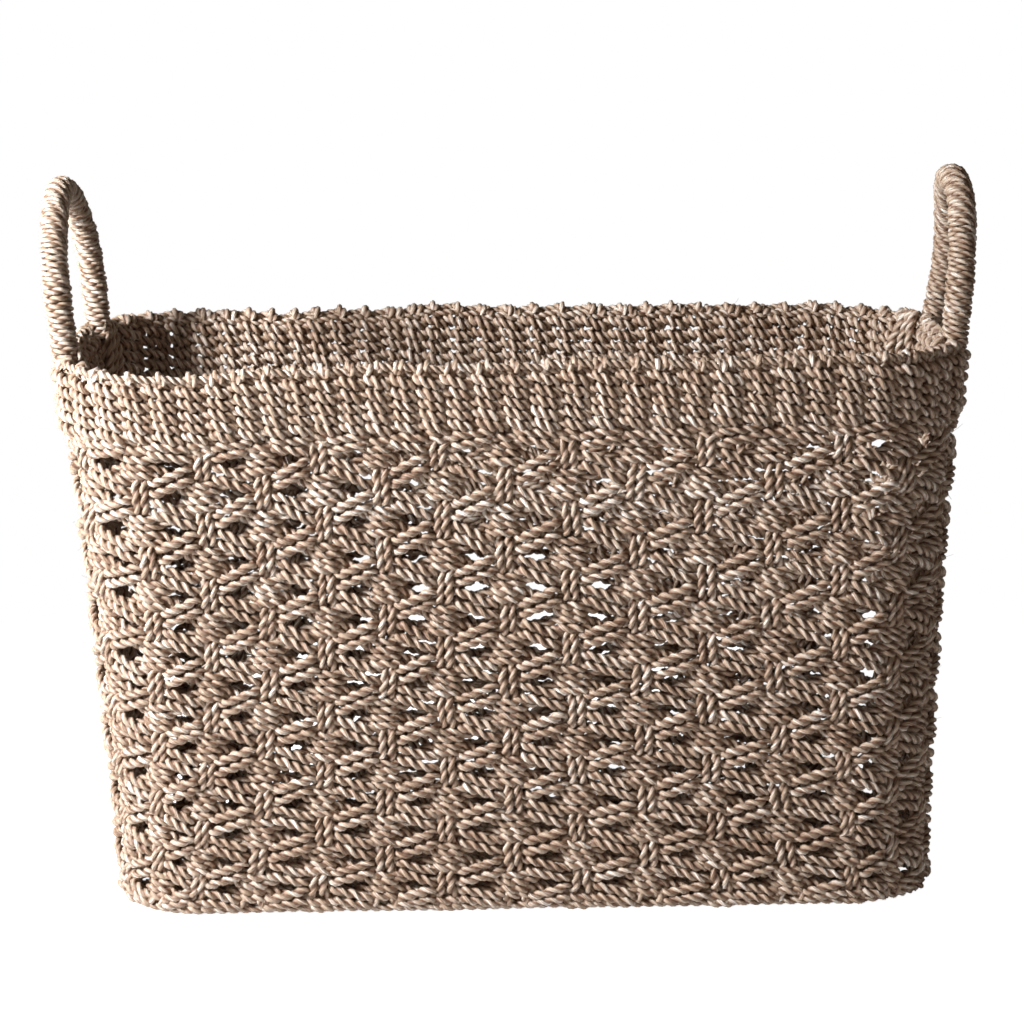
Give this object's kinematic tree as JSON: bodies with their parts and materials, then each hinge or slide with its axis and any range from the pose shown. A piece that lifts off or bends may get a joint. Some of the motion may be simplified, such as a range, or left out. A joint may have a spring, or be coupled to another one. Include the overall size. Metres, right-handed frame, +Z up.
{
  "type": "magazine basket",
  "caption": "Flared rectangular openwork basket of natural twisted cord with a tight rim band and an upright wound handle on each end wall.",
  "frame": {"origin": "middle of the underside, on the surface the basket stands on", "axes": "+X along the length towards the right end wall, +Y from the front wall to the back wall, +Z up"},
  "size_m": [0.4584, 0.1812, 0.3619],
  "materials": {
    "stake_cord": "natural twisted fibre",
    "body_cord": "natural twisted fibre",
    "band_cord": "natural twisted fibre",
    "handle_cord": "natural twisted fibre, lightly polished by hands"
  },
  "bodies": {
    "root": {"cross_stake_1": "stake_cord", "cross_stake_2": "stake_cord", "cross_stake_3": "stake_cord", "cross_stake_4": "stake_cord", "cross_stake_5": "stake_cord", "cross_stake_6": "stake_cord", "cross_stake_7": "stake_cord", "cross_stake_8": "stake_cord", "cross_stake_9": "stake_cord", "cross_stake_10": "stake_cord", "cross_stake_11": "stake_cord", "cross_stake_12": "stake_cord", "cross_stake_13": "stake_cord", "end_stake_1": "stake_cord", "end_stake_2": "stake_cord", "end_stake_3": "stake_cord", "end_stake_4": "stake_cord", "end_stake_5": "stake_cord", "base_weft_1": "stake_cord", "base_weft_2": "stake_cord", "base_weft_3": "stake_cord", "base_weft_4": "stake_cord", "bottom_cord": "body_cord", "course_1": "body_cord", "course_2": "body_cord", "course_3": "body_cord", "course_4": "body_cord", "course_5": "body_cord", "course_6": "body_cord", "course_7": "body_cord", "course_8": "body_cord", "course_9": "body_cord", "course_10": "body_cord", "course_11": "body_cord", "course_12": "body_cord", "course_13": "body_cord", "course_14": "body_cord", "course_15": "body_cord", "band_row_1": "band_cord", "band_row_2": "band_cord", "band_row_3": "band_cord", "band_row_4": "band_cord", "band_row_5": "band_cord", "rim_border": "band_cord", "handle_core_left": "handle_cord", "handle_winding_left": "handle_cord", "handle_core_right": "handle_cord", "handle_winding_right": "handle_cord"}
  },
  "joints": []
}
